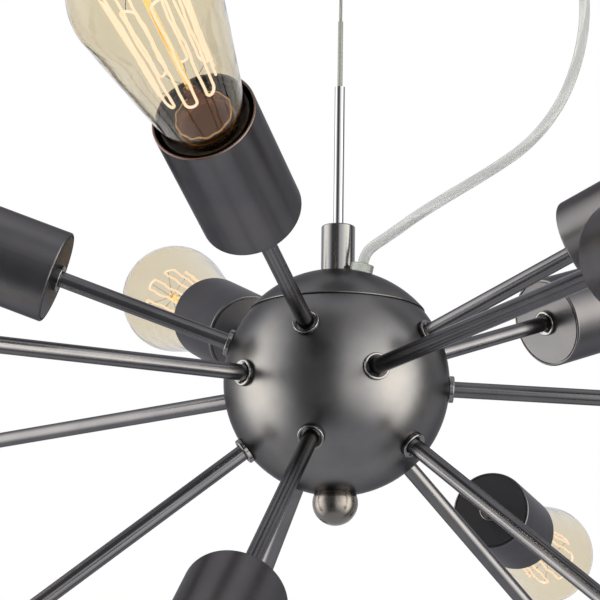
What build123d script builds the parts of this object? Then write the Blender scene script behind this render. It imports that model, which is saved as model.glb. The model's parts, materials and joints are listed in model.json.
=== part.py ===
from build123d import *
import os
from math import acos, cos, pi, radians, sin, sqrt, tan

# A fifteen-light sputnik chandelier. A thin-walled ball carries three rings of five tubular
# arms; each arm ends in a metal cup that hides a lampholder and its screw-in lamp. The ball
# hangs on one steel cable from a round ceiling canopy, and a clear flex runs beside the cable.
# Millimetres, Z up. The origin is on the ceiling plane, at the middle of the canopy.

# ---------------------------------------------------------------- driving dimensions

# hub
hub_r = 56.0
hub_wall = 1.5
hub_drop = 335.0
seam_latitude = 40.0
cap_proud = 0.8
cap_edge_round = 0.4
spigot_depth = 4.0
spigot_wall = 1.1

# lamps, counted in rings of equal arms
lamps_per_ring = 5
ring_names = ["upper", "middle", "lower"]
ring_latitudes = [20.0, -2.3, -38.0]
ring_azimuths = [-16.2, 19.6, -15.4]
ring_cup_distances = [149.0, 336.0, 203.0]

# arm tube and its fixings
arm_r = 4.0
arm_bore_r = 2.75
arm_end_inside_hub = 10.0
arm_end_inside_cup = 9.0
collar_r = 6.65
collar_length = 2.2
collar_round = 0.6
collar_dish_r = 5.6
collar_dish_depth = 0.7
arm_nut_across_flats = 13.0
arm_nut_thickness = 3.5

# cup over each lampholder
cup_r = 23.5
cup_length = 74.0
cup_wall = 1.2
cup_base = 2.0
cup_base_round = 0.9
cup_rim_round = 0.5
cup_groove_r = 22.4
cup_groove_width = 0.7
cup_groove_depth = 0.8

# lampholder
holder_entry_r = 15.0
holder_entry_length = 10.0
holder_body_r = 18.0
holder_skirt_r = 20.2
holder_skirt_wall = 1.1
holder_skirt_length = 20.0
holder_recess = 1.5
holder_shelf_depth = 6.5
contact_depth = 30.5

# lamp: screw cap, bottle and stem
lamp_cap_r = 13.2
lamp_cap_wall = 0.6
lamp_cap_length = 25.5
lamp_contact_r = 4.8
lamp_contact_height = 1.6
lamp_insulator_height = 5.0
glass_r = 32.0
glass_wall = 0.8
glass_neck_in_cap = 7.0
glass_cone_half_angle = 9.1
glass_cone_run = 74.0
glass_shoulder_r = 9.0
glass_dome_beyond_cup = 82.5
stem_flare_height = 15.0
stem_rod_r = 3.2
stem_height = 36.0

# hanging gear
neck_r = 8.5
neck_height = 23.2
neck_cavity_r = 5.05
neck_cavity_depth = 14.0
neck_round = 0.8
hub_rod_r = 5.0
rod_in_neck = 5.0
tube_r = 2.6
tube_bore_r = 1.1
tube_seat = 9.0
tube_above_neck = 73.0
sleeve_r = 1.3
sleeve_length = 35.0
cable_r = 0.8
cable_stop_r = 3.2
cable_stop_length = 6.0
finial_r = 11.2
finial_centre_below_bowl = 3.9
finial_bore_depth = 8.0
rod_end_gap = 1.0

# ceiling end
canopy_r = 63.5
canopy_depth = 30.0
canopy_wall = 1.2
canopy_round = 5.0
crossbar_end_margin = 2.55
crossbar_width = 16.0
crossbar_thickness = 2.0
crossbar_corner_r = 3.0
crossbar_hole_spacing = 88.9
slot_length = 10.0
slot_width = 4.8
nipple_r = 5.0
nipple_bore_r = 2.0
nipple_in_grip = 8.0
nipple_nut_across_flats = 14.0
nipple_nut_thickness = 3.0
grip_r = 7.0
grip_flange_r = 11.0
grip_flange_thickness = 2.0
grip_length = 26.0
plunger_r = 3.0
plunger_length = 11.0
plunger_proud = 5.5
plunger_travel = 2.5
plunger_end_gap = 0.1
fitting_round = 0.8
cable_tail_depth = 10.0

# flex and its bushes
flex_r = 2.7
flex_straight_exit = 3.7
bush_flange_r = 5.7
bush_flange_height = 3.9
bush_flange_skirt = 1.0
bush_stem_r = 4.0
bush_stem_length = 3.0
bush_tilt = 16.0
bush_azimuth = -42.0
flex_outlet_x = 38.0

# fits
thread_clearance = 0.05
sliding_clearance = 0.05
loose_clearance = 0.15
seat_gap = 0.02

# ---------------------------------------------------------------- worked-out places

hub_inner_r = hub_r - hub_wall
cap_r = hub_r + cap_proud
cap_inner_r = cap_r - hub_wall
seam_height = hub_r * sin(radians(seam_latitude))
hub_centre = (0, 0, -hub_drop)
rod_hole_r = hub_rod_r + loose_clearance
arm_hole_r = arm_r + loose_clearance
neck_top = cap_r + neck_height
tube_top = neck_top + tube_above_neck
sleeve_top = tube_top + sleeve_length
finial_drop = hub_r + finial_centre_below_bowl
crossbar_length = crossbar_hole_spacing + slot_length + 2 * crossbar_end_margin
holder_top = cup_length - holder_recess
contact_height = cup_length - contact_depth

os.makedirs("parts", exist_ok=True)


def sphere_height(radius, distance):
    """Height above a sphere's centre of its surface at a distance from the polar axis."""
    return sqrt(radius**2 - distance**2)


def turned(outline, rounded=None):
    """Solid of revolution about Z. The outline is drawn as (distance from axis, height).
    The corners in rounded, a dictionary of corner to radius, are rounded first."""
    face = make_face(outline)
    for (distance, height), radius in (rounded or {}).items():
        corner = face.vertices().sort_by_distance((distance, height, 0))[0]
        face = fillet(corner, radius)
    return revolve(Plane.XZ * face, Axis.Z)


def ring(outer_r, inner_r, low, high):
    """Plain turned ring between two heights."""
    outline = Polyline((inner_r, low), (outer_r, low), (outer_r, high), (inner_r, high), close=True)
    return turned(outline)


def hex_nut(across_flats, bore_r, thickness):
    """Hexagonal nut standing on the XY plane."""
    blank = extrude(RegularPolygon(across_flats / 2, 6, major_radius=False), thickness)
    return blank - Pos(0, 0, thickness / 2) * Cylinder(bore_r, 2 * thickness)


def lamp_plane(ring_number, place):
    """Plane at the hub's centre whose Z axis runs out along one arm."""
    latitude = radians(ring_latitudes[ring_number])
    azimuth = radians(ring_azimuths[ring_number] + place * 360 / lamps_per_ring)
    outwards = (sin(azimuth) * cos(latitude), -cos(azimuth) * cos(latitude), sin(latitude))
    sideways = (cos(azimuth), sin(azimuth), 0)
    return Plane(origin=hub_centre, x_dir=sideways, z_dir=outwards)


def save(shape, name):
    """Write one sub-part under its own name."""
    export_step(shape, f"parts/{name}.step")


lamps = [(r, p) for r in range(len(ring_names)) for p in range(lamps_per_ring)]


# ---------------------------------------------------------------- hub


def hub_bowl():
    """Lower shell of the ball: everything below the seam, with a hole for each arm."""
    outline = (
        ThreePointArc(
            (rod_hole_r, -sphere_height(hub_r, rod_hole_r)),
            (hub_r, 0),
            (sphere_height(hub_r, seam_height), seam_height),
        )
        + Line(
            (sphere_height(hub_r, seam_height), seam_height),
            (sphere_height(hub_inner_r, seam_height), seam_height),
        )
        + ThreePointArc(
            (sphere_height(hub_inner_r, seam_height), seam_height),
            (hub_inner_r, 0),
            (rod_hole_r, -sphere_height(hub_inner_r, rod_hole_r)),
        )
        + Line(
            (rod_hole_r, -sphere_height(hub_inner_r, rod_hole_r)),
            (rod_hole_r, -sphere_height(hub_r, rod_hole_r)),
        )
    )
    shell = Pos(*hub_centre) * turned(outline)
    for ring_number, place in lamps:
        drill = Pos(0, 0, hub_r) * Cylinder(arm_hole_r, 4 * hub_wall)
        shell -= lamp_plane(ring_number, place) * drill
    return shell


def hub_cap():
    """Lid of the ball. Its edge stands proud of the bowl and a spigot drops inside the bowl."""
    spigot_r = sphere_height(hub_inner_r, seam_height) - loose_clearance
    spigot_inner_r = spigot_r - spigot_wall
    edge = (sphere_height(cap_r, seam_height), seam_height)
    half_way = radians((seam_latitude + 90) / 2)
    middle = (cap_r * cos(half_way), cap_r * sin(half_way))
    inner_middle = (cap_inner_r * cos(half_way), cap_inner_r * sin(half_way))
    outline = (
        ThreePointArc(edge, middle, (rod_hole_r, sphere_height(cap_r, rod_hole_r)))
        + Line(
            (rod_hole_r, sphere_height(cap_r, rod_hole_r)),
            (rod_hole_r, sphere_height(cap_inner_r, rod_hole_r)),
        )
        + ThreePointArc(
            (rod_hole_r, sphere_height(cap_inner_r, rod_hole_r)),
            inner_middle,
            (spigot_inner_r, sphere_height(cap_inner_r, spigot_inner_r)),
        )
        + Polyline(
            (spigot_inner_r, sphere_height(cap_inner_r, spigot_inner_r)),
            (spigot_inner_r, seam_height - spigot_depth),
            (spigot_r, seam_height - spigot_depth),
            (spigot_r, seam_height),
            edge,
        )
    )
    lid = turned(outline, {edge: cap_edge_round})
    bush_hole = Pos(0, 0, cap_r) * Cylinder(bush_stem_r + loose_clearance, 6 * hub_wall)
    return Pos(*hub_centre) * (lid - bush_plane() * bush_hole)


def finial():
    """Turned ball knob, hollowed at the top to sit on the bowl and tapped for the rod."""
    ball = Pos(0, 0, -finial_drop) * Sphere(finial_r)
    ball -= Sphere(hub_r + seat_gap)
    tapped = ring(hub_rod_r + thread_clearance, 0, -hub_r - finial_bore_depth, -hub_inner_r)
    return Pos(*hub_centre) * (ball - tapped)


def neck():
    """Turned neck: saddle-cut to the cap, with one cavity for the rod and the cable stop."""
    blank = Polyline((0, 0), (neck_r, 0), (neck_r, neck_top), (0, neck_top), close=True)
    body = turned(blank, {(neck_r, neck_top): neck_round}) - Sphere(cap_r + seat_gap)
    cavity_top = cap_r + neck_cavity_depth
    body -= ring(neck_cavity_r, 0, 0, cavity_top)
    body -= ring(tube_r + thread_clearance, 0, 0, neck_top)
    return Pos(*hub_centre) * body


def rods():
    """The ball's through-rod and the ceiling nipple: two threaded tubes."""
    bottom = -hub_r - finial_bore_depth + rod_end_gap
    top = cap_r + rod_in_neck
    through_rod = Pos(0, 0, -hub_drop) * ring(hub_rod_r, nipple_bore_r, bottom, top)
    nipple = ring(nipple_r, nipple_bore_r, -canopy_depth - nipple_in_grip, 0)
    return Compound([through_rod, nipple])


# ---------------------------------------------------------------- arms and cups


def arm(cup_distance):
    """Straight tube from inside the ball to inside the cup."""
    start = hub_inner_r - arm_end_inside_hub
    end = cup_distance + cup_base + arm_end_inside_cup
    return ring(arm_r, arm_bore_r, start, end)


def collar():
    """Turned ring screwed on the arm: a rounded lip round a face that dishes to the bore."""
    bore = arm_r + thread_clearance
    outline = Polyline(
        (bore, 0),
        (collar_r, 0),
        (collar_r, collar_length),
        (collar_dish_r, collar_length),
        (bore, collar_length - collar_dish_depth),
        close=True,
    )
    return turned(outline, {(collar_r, collar_length): collar_round})


def arm_nut():
    """Nut that draws an arm's collar against the ball from inside."""
    return hex_nut(arm_nut_across_flats, arm_r + thread_clearance, arm_nut_thickness)


def cup():
    """Straight-sided cup: flat base with a turned groove near its edge, and a rounded lip."""
    inner_r = cup_r - cup_wall
    outline = Polyline(
        (arm_hole_r, 0),
        (cup_r, 0),
        (cup_r, cup_length),
        (inner_r, cup_length),
        (inner_r, cup_base),
        (arm_hole_r, cup_base),
        close=True,
    )
    rounded = {
        (cup_r, 0): cup_base_round,
        (cup_r, cup_length): cup_rim_round,
        (inner_r, cup_length): cup_rim_round,
    }
    groove = ring(cup_groove_r, cup_groove_r - cup_groove_width, 0, cup_groove_depth)
    return turned(outline, rounded) - groove


def lampholder():
    """Black holder: entry tapped for the arm, body, screw socket and a wide shading skirt."""
    skirt_inner_r = holder_skirt_r - holder_skirt_wall
    shelf = holder_top - holder_shelf_depth
    skirt_start = holder_top - holder_skirt_length
    entry_top = cup_base + holder_entry_length
    socket_r = lamp_cap_r + loose_clearance
    outline = Polyline(
        (arm_r + thread_clearance, cup_base),
        (holder_entry_r, cup_base),
        (holder_entry_r, entry_top),
        (holder_body_r, entry_top + holder_body_r - holder_entry_r),
        (holder_body_r, skirt_start),
        (holder_skirt_r, skirt_start + holder_skirt_r - holder_body_r),
        (holder_skirt_r, holder_top),
        (skirt_inner_r, holder_top),
        (skirt_inner_r, shelf),
        (socket_r, shelf),
        (socket_r, contact_height),
        (0, contact_height),
        (0, entry_top),
        (arm_r + thread_clearance, entry_top),
        close=True,
    )
    return turned(outline)


# ---------------------------------------------------------------- lamp


def bottle_side(skin):
    """Edges of the bottle's side from neck to tip, drawn a skin inside its outer surface.
    The dome and the shoulder are arcs tangent to the same cone, so each keeps its centre."""
    slope = radians(glass_cone_half_angle)
    neck_line = lamp_cap_r - lamp_cap_wall - loose_clearance - skin
    neck_foot = contact_height + lamp_cap_length - glass_neck_in_cap
    dome_height = cup_length + glass_dome_beyond_cup
    dome = glass_r - skin
    shoulder = glass_shoulder_r - skin
    across = glass_r - glass_shoulder_r
    shoulder_x = across * cos(slope) - glass_cone_run * sin(slope)
    shoulder_z = dome_height - across * sin(slope) - glass_cone_run * cos(slope)
    neck_angle = acos((neck_line - shoulder_x) / shoulder)
    arc_angle = (neck_angle + slope) / 2
    neck_end = (neck_line, shoulder_z - shoulder * sin(neck_angle))
    arc_middle = (shoulder_x + shoulder * cos(arc_angle), shoulder_z - shoulder * sin(arc_angle))
    cone_start = (shoulder_x + shoulder * cos(slope), shoulder_z - shoulder * sin(slope))
    cone_end = (dome * cos(slope), dome_height - dome * sin(slope))
    dome_middle = (dome * cos(pi / 5), dome_height + dome * sin(pi / 5))
    tip = (0, dome_height + dome)
    return (
        Line((neck_line, neck_foot), neck_end)
        + ThreePointArc(neck_end, arc_middle, cone_start)
        + Line(cone_start, cone_end)
        + ThreePointArc(cone_end, dome_middle, tip)
    )


def bulb():
    """Lamp of three pieces: blown bottle, glass stem in its neck, and the metal screw cap."""
    outer = bottle_side(0)
    inner = bottle_side(glass_wall)
    foot = outer.vertices().sort_by(Axis.Y)[0]
    inner_foot = inner.vertices().sort_by(Axis.Y)[0]
    tip = outer.vertices().sort_by(Axis.Y)[-1]
    inner_tip = inner.vertices().sort_by(Axis.Y)[-1]
    bottle = turned(outer + Line(tip, inner_tip) + inner + Line(inner_foot, foot))

    flare_r = inner_foot.X - loose_clearance
    flare_top = foot.Y + stem_flare_height
    stem_outline = (
        Polyline((0, foot.Y), (flare_r, foot.Y))
        + ThreePointArc(
            (flare_r, foot.Y),
            ((flare_r + 2 * stem_rod_r) / 3, foot.Y + stem_flare_height / 2),
            (stem_rod_r, flare_top),
        )
        + Polyline(
            (stem_rod_r, flare_top),
            (stem_rod_r, foot.Y + stem_height),
            (0, foot.Y + stem_height),
            (0, foot.Y),
        )
    )
    stem = turned(stem_outline)

    cap_inner = lamp_cap_r - lamp_cap_wall
    insulator = contact_height + lamp_insulator_height
    cap_outline = Polyline(
        (0, contact_height),
        (lamp_contact_r, contact_height),
        (lamp_contact_r, contact_height + lamp_contact_height),
        (lamp_cap_r, insulator),
        (lamp_cap_r, contact_height + lamp_cap_length),
        (cap_inner, contact_height + lamp_cap_length),
        (cap_inner, insulator + 2 * lamp_cap_wall),
        (0, insulator + 2 * lamp_cap_wall),
        close=True,
    )
    return [bottle, stem, turned(cap_outline)]


# ---------------------------------------------------------------- hanging gear


def suspension_tube():
    """Polished tube over the lowest stretch of cable, seated in the neck."""
    tube = ring(tube_r, tube_bore_r, neck_top - tube_seat, tube_top)
    return Pos(*hub_centre) * tube


def suspension_cable():
    """Steel cable, the sleeve crimped over it above the tube, and its stop inside the neck."""
    stop_top = cap_r + neck_cavity_depth - seat_gap
    stop_foot = stop_top - cable_stop_length
    cable_top = hub_drop - cable_tail_depth
    cable = ring(cable_r, 0, stop_foot, cable_top)
    stop = ring(cable_stop_r, cable_r + seat_gap, stop_foot, stop_top)
    sleeve = ring(sleeve_r, cable_r + seat_gap, tube_top, sleeve_top)
    return Pos(*hub_centre) * Compound([cable, stop, sleeve])


def cable_grip():
    """Grip under the canopy: flange, body tapped for the nipple, and the plunger's bore."""
    top = -canopy_depth
    foot = top - grip_length
    plunger_bore = plunger_length - plunger_proud + plunger_travel + plunger_end_gap
    outline = Polyline(
        (0, top),
        (grip_flange_r, top),
        (grip_flange_r, top - grip_flange_thickness),
        (grip_r, top - grip_flange_thickness),
        (grip_r, foot),
        (0, foot),
        close=True,
    )
    body = turned(outline, {(grip_r, foot): fitting_round})
    body -= ring(nipple_r + thread_clearance, 0, top - nipple_in_grip - seat_gap, top)
    body -= ring(plunger_r + sliding_clearance, 0, foot, foot + plunger_bore)
    return body - ring(plunger_clear_r(), 0, foot, top)


def plunger_clear_r():
    """Bore that lets the cable run freely through the grip and its plunger."""
    return cable_r + 2 * loose_clearance


def grip_plunger():
    """Sprung release plunger. Pushed up into the grip, it frees the cable."""
    foot = -canopy_depth - grip_length - plunger_proud
    outline = Polyline(
        (plunger_clear_r(), foot),
        (plunger_r, foot),
        (plunger_r, foot + plunger_length),
        (plunger_clear_r(), foot + plunger_length),
        close=True,
    )
    return turned(outline, {(plunger_r, foot): fitting_round})


def canopy():
    """Pressed canopy, open to the ceiling, with a centre hole and one for the flex bush."""
    inner_r = canopy_r - canopy_wall
    floor = -canopy_depth + canopy_wall
    outline = Polyline(
        (nipple_r + loose_clearance, -canopy_depth),
        (canopy_r, -canopy_depth),
        (canopy_r, 0),
        (inner_r, 0),
        (inner_r, floor),
        (nipple_r + loose_clearance, floor),
        close=True,
    )
    rounded = {
        (canopy_r, -canopy_depth): canopy_round,
        (inner_r, floor): canopy_round - canopy_wall,
    }
    outlet = Pos(flex_outlet_x, 0, floor) * Cylinder(bush_stem_r + loose_clearance, 6 * canopy_wall)
    return turned(outline, rounded) - outlet


def crossbar():
    """Steel strap that screws to the ceiling box through two slots and carries the nipple."""
    blank = RectangleRounded(crossbar_width, crossbar_length, crossbar_corner_r)
    strap = extrude(blank, -crossbar_thickness)
    slot = extrude(SlotOverall(slot_length, slot_width, rotation=90), -2 * crossbar_thickness)
    for side in (-1, 1):
        strap -= Pos(0, side * crossbar_hole_spacing / 2, crossbar_thickness / 2) * slot
    return strap - Cylinder(nipple_r + thread_clearance, 4 * crossbar_thickness)


def collars_and_nuts():
    """Every turned collar and hexagonal nut: two collars and a nut on each arm, and one nut
    on the ceiling nipple."""
    hub_seat = sphere_height(hub_r, arm_r) + seat_gap
    nut_corner = arm_nut_across_flats / sqrt(3)
    nut_face = sphere_height(hub_inner_r, nut_corner) - seat_gap
    pieces = []
    for ring_number, place in lamps:
        along = lamp_plane(ring_number, place)
        cup_face = ring_cup_distances[ring_number]
        pieces.append(along * (Pos(0, 0, hub_seat) * collar()))
        pieces.append(along * (Pos(0, 0, cup_face) * Rot(180, 0, 0) * collar()))
        pieces.append(along * (Pos(0, 0, nut_face - arm_nut_thickness) * arm_nut()))
    nipple_nut = hex_nut(
        nipple_nut_across_flats, nipple_r + thread_clearance, nipple_nut_thickness
    )
    pieces.append(Pos(0, 0, -crossbar_thickness - nipple_nut_thickness) * nipple_nut)
    return Compound(pieces)


# ---------------------------------------------------------------- flex and bushes


def bush_direction():
    """Direction from the hub's centre through the flex bush in the cap."""
    tilt = radians(bush_tilt)
    azimuth = radians(bush_azimuth)
    return Vector(sin(tilt) * cos(azimuth), sin(tilt) * sin(azimuth), cos(tilt))


def bush_plane():
    """Plane at the ball's centre whose Z axis runs out through the flex bush."""
    return Plane(origin=(0, 0, 0), z_dir=bush_direction())


def bush(wall):
    """Clear flanged bush whose flange stands on the XY plane and whose stem hangs below it."""
    foot = -wall - bush_stem_length
    outline = Polyline(
        (0, foot),
        (bush_stem_r, foot),
        (bush_stem_r, -bush_flange_skirt),
        (bush_flange_r, -bush_flange_skirt),
        (bush_flange_r, bush_flange_height),
        (0, bush_flange_height),
        close=True,
    )
    return turned(outline, {(bush_flange_r, bush_flange_height): fitting_round})


def flex_bushes():
    """The bush in the ball's cap and the one in the canopy. Each flange's skirt is cut back
    to the surface that it seats on."""
    lower = bush_plane() * (Pos(0, 0, cap_r) * bush(hub_wall))
    stem = bush_plane() * Cylinder(bush_stem_r, 4 * cap_r)
    lower = Pos(*hub_centre) * (lower - (Sphere(cap_r + seat_gap) - stem))
    skirt = ring(2 * bush_flange_r, bush_stem_r, -bush_flange_skirt, 0)
    upper = Pos(flex_outlet_x, 0, -canopy_depth) * Rot(180, 0, 0) * (bush(canopy_wall) - skirt)
    return Compound([lower, upper])


def flex_route():
    """Points of the flex, from the cap's bush to the canopy's. Its slack leans out to the
    right of the cable and comes back to the canopy; each end leaves its bush straight."""
    start = bush_direction() * (cap_r + bush_flange_height)
    exit_point = bush_direction() * (cap_r + bush_flange_height + flex_straight_exit)
    leaning = [
        (16.3, -11.8, 66.4),
        (25.4, -9.9, 73.1),
        (43.2, -9.4, 86.7),
        (78.0, -7.6, 108.8),
        (96.9, -6.5, 123.3),
        (111.9, -5.6, 143.8),
        (120.7, -4.5, 167.3),
        (124.8, -3.2, 192.0),
        (123.0, -3.0, 216.0),
        (112.0, -2.2, 236.0),
        (91.0, -1.2, 250.0),
        (60.0, -0.3, 261.0),
        (45.5, 0.0, 271.5),
        (flex_outlet_x, 0.0, 285.8),
    ]
    end = (flex_outlet_x, 0.0, hub_drop - canopy_depth - bush_flange_height)
    above_ball = [start, exit_point, *[Vector(*spot) for spot in leaning], Vector(*end)]
    return [Vector(*hub_centre) + spot for spot in above_ball]


def flex():
    """The flex: a round clear-sheathed cord as straight runs joined by tangent arcs."""
    points = flex_route()
    runs = [b - a for a, b in zip(points, points[1:])]
    bends = []
    for one, two in zip(runs, runs[1:]):
        half_turn = radians(one.get_angle(two)) / 2
        bends.append(0.45 * min(one.length, two.length) / tan(half_turn))
    path = FilletPolyline(*points, radius=bends)
    tube = sweep(Plane(origin=path @ 0, z_dir=path % 0) * Circle(flex_r), path=path)
    print("flex runs", [round(run.length, 1) for run in runs])
    print("flex bend radii", [round(bend) for bend in bends])
    print("flex length", round(path.length, 1))
    print("flex volume over section times length", tube.volume / (pi * flex_r**2 * path.length))
    return tube


# ---------------------------------------------------------------- write every sub-part

save(hub_bowl(), "hub_bowl")
save(hub_cap(), "hub_cap")
save(finial(), "finial")
save(neck(), "neck")
save(rods(), "threaded_rods")
save(suspension_tube(), "suspension_tube")
save(suspension_cable(), "suspension_cable")
save(cable_grip(), "cable_grip")
save(grip_plunger(), "grip_plunger")
save(canopy(), "canopy")
save(crossbar(), "crossbar")
save(collars_and_nuts(), "collars_and_nuts")
save(flex_bushes(), "flex_bushes")
save(flex(), "flex")

one_cup = cup()
one_holder = lampholder()
one_bulb = bulb()
arms = [arm(distance) for distance in ring_cup_distances]
holders = []
for ring_number, place in lamps:
    along = lamp_plane(ring_number, place)
    seat = Pos(0, 0, ring_cup_distances[ring_number])
    label = f"{ring_names[ring_number]}_{place + 1}"
    save(along * arms[ring_number], f"arm_{label}")
    save(along * (seat * one_cup), f"cup_{label}")
    save(Compound([along * (seat * piece) for piece in one_bulb]), f"bulb_{label}")
    holders.append(along * (seat * one_holder))
save(Compound(holders), "lampholders")
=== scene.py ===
# %% [markdown]
# # A sputnik chandelier with fifteen filament lamps
#
# The fixture is a dark metal ball that hangs on one steel cable. Fifteen tubular arms leave it
# in three rings of five, and each arm ends in a metal cup with a lamp in it. The metal parts
# come from the CAD frame and only get a finish here. The lamps' glass, stems, filaments and
# screw caps, and the clear flex with its conductors, are built here, because their beauty is
# in thin glass and wire that the solids only stand in for. All lengths are in metres.

import json
from math import acos, cos, pi, radians, sin

import bmesh
import bpy
import numpy as np
from mathutils import Matrix, Vector

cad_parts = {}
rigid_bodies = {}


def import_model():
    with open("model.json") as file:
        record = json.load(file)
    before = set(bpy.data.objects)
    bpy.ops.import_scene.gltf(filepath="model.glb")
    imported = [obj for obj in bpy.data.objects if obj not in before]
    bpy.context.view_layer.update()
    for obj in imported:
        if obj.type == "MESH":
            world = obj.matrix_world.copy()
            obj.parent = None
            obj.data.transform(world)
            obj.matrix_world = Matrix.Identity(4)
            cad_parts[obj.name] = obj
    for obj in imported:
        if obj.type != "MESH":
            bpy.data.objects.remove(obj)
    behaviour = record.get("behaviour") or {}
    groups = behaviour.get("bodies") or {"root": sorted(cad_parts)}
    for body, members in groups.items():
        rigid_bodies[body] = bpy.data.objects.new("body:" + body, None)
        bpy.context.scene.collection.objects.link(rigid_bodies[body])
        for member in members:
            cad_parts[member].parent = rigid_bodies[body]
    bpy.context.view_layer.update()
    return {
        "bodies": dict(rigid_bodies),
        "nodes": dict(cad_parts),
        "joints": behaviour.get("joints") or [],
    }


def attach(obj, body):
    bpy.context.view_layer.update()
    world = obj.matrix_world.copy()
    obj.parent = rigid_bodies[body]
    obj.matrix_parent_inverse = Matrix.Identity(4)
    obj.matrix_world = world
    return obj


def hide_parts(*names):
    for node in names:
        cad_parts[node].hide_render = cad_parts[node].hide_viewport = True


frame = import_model()
nodes = frame["nodes"]
mm = 0.001
ball_centre = np.array([0.0, 0.0, -335 * mm])

# %% [markdown]
# ## Camera
#
# The picture was taken with a long lens from a little below the ball, looking up. The camera
# is set first, so that every later piece can be judged against the photograph. Its place is
# worked out from the ball: how far away, how far below, and three small turns that bring the
# ball to its place in the frame.

# %% Camera
camera_distance = 1347 * mm
camera_below = radians(11.32)
camera_yaw = radians(-0.79)
camera_pitch = radians(-1.74)
camera_roll = radians(-0.68)
focal_in_frame_widths = 4.533
sensor_width = 36.0


def turn(axis, angle):
    """Turn about X, Y or Z: cosine on the diagonal, sine off it, as a 3 by 3 matrix."""
    matrix = np.eye(3)
    one, two = [i for i in range(3) if i != axis]
    side = -1 if axis == 1 else 1
    matrix[one, one] = matrix[two, two] = cos(angle)
    matrix[one, two] = -side * sin(angle)
    matrix[two, one] = side * sin(angle)
    return matrix


def photograph_camera():
    """The camera looks at the ball from below. Its three axes are the rows of the view:
    right is world X, back points from the ball to the camera, and up is back crossed with
    right. Yaw, pitch and roll then turn the view a little."""
    back = np.array([0, -cos(camera_below), -sin(camera_below)])
    right = np.array([1.0, 0, 0])
    view = np.stack([right, np.cross(back, right), back])
    view = turn(2, camera_roll) @ turn(0, camera_pitch) @ turn(1, camera_yaw) @ view
    data = bpy.data.cameras.new("camera")
    data.lens = focal_in_frame_widths * sensor_width
    data.sensor_width = sensor_width
    data.clip_end = 100
    camera = bpy.data.objects.new("camera", data)
    bpy.context.scene.collection.objects.link(camera)
    matrix = np.eye(4)
    matrix[:3, :3] = view.T
    matrix[:3, 3] = ball_centre + camera_distance * back
    camera.matrix_world = matrix.T.tolist()
    bpy.context.scene.camera = camera
    print("camera at", np.round(matrix[:3, 3], 4), "lens", round(data.lens, 1))


photograph_camera()

# %% [markdown]
# ## Mesh helpers
#
# Each new piece is a surface worked out with numpy. A turned piece is a profile of radius and
# height carried round an axis, and a wire is a circle carried along a path. Both are grids of
# points, so one function turns a grid into a mesh. Rows of points that fall together at a
# pole are merged, which closes the surface.


# %% Mesh helpers
def add_mesh(name, points, faces, sharp_angle=radians(50)):
    """Put points and faces into a new mesh, merge doubles, and shade it smooth."""
    mesh = bpy.data.meshes.new(name)
    mesh.from_pydata(points.tolist(), [], faces.tolist())
    merge_doubles(mesh)
    mesh.polygons.foreach_set("use_smooth", [True] * len(mesh.polygons))
    mesh.set_sharp_from_angle(angle=sharp_angle)
    mesh.update()
    piece = bpy.data.objects.new(name, mesh)
    bpy.context.scene.collection.objects.link(piece)
    return piece


def merge_doubles(mesh):
    """Weld points that lie in one place, as at the pole of a turned piece."""
    work = bmesh.new()
    work.from_mesh(mesh)
    bmesh.ops.remove_doubles(work, verts=work.verts, dist=1e-7)
    bmesh.ops.recalc_face_normals(work, faces=work.faces)
    work.to_mesh(mesh)
    work.free()


def grid_faces(rows, columns, first=0, close_rows=False):
    """Quads of a grid whose columns run round in a ring. Corner (i, j) is point
    i * columns + j, and each quad joins it to its neighbours in the next row and column."""
    last = rows if close_rows else rows - 1
    i, j = np.meshgrid(np.arange(last), np.arange(columns), indexing="ij")
    down = (i + 1) % rows
    right = (j + 1) % columns
    corners = [i * columns + j, i * columns + right, down * columns + right, down * columns + j]
    return first + np.stack(corners, axis=-1).reshape(-1, 4)


def turned(profile, columns=48):
    """Point at angle a and profile step i: (r_i cos a, r_i sin a, z_i)."""
    radius, height = np.asarray(profile, float).T
    angle = np.arange(columns) * 2 * pi / columns
    x = radius[:, None] * np.cos(angle)
    y = radius[:, None] * np.sin(angle)
    z = np.repeat(height[:, None], columns, axis=1)
    return np.stack([x, y, z], axis=-1)


def wire(path, radius, across, sides=8, closed=False):
    """Point at path step i and angle a: path_i + r (cos a * normal_i + sin a * binormal_i),
    where the normal is the given across direction made square to the path."""
    path = np.asarray(path, float)
    if closed:
        tangent = np.roll(path, -1, axis=0) - np.roll(path, 1, axis=0)
    else:
        tangent = np.gradient(path, axis=0)
    tangent /= np.linalg.norm(tangent, axis=1, keepdims=True)
    normal = np.broadcast_to(across, path.shape)
    normal = normal - (normal * tangent).sum(axis=1, keepdims=True) * tangent
    normal = normal / np.linalg.norm(normal, axis=1, keepdims=True)
    binormal = np.cross(tangent, normal)
    angle = (np.arange(sides) * 2 * pi / sides)[None, :, None]
    radius = np.broadcast_to(radius, len(path))[:, None, None]
    round_path = np.cos(angle) * normal[:, None] + np.sin(angle) * binormal[:, None]
    return path[:, None] + radius * round_path


def joined(grids, closed=()):
    """Several ring grids as one set of points and quads."""
    points, faces, first = [], [], 0
    for index, grid in enumerate(grids):
        rows, columns = grid.shape[:2]
        points.append(grid.reshape(-1, 3))
        faces.append(grid_faces(rows, columns, first, index in closed))
        first += rows * columns
    return np.concatenate(points), np.concatenate(faces)


def capped(grid):
    """The same grid with its two ends drawn to their middles, so that the wire is closed."""
    first, last = (row.mean(axis=0)[None, None] for row in (grid[0], grid[-1]))
    sides = grid.shape[1]
    return np.concatenate([np.repeat(first, sides, axis=1), grid, np.repeat(last, sides, axis=1)])


# %% [markdown]
# ## Where the lamps stand
#
# Each lamp slides along its own arm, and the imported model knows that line: it is the axis of
# the lamp's joint. The cup's mesh says how far out its rim lies. A lamp is therefore drawn
# once, in its own frame, with height counted outward from the cup's rim, and then placed
# fifteen times.

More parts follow.
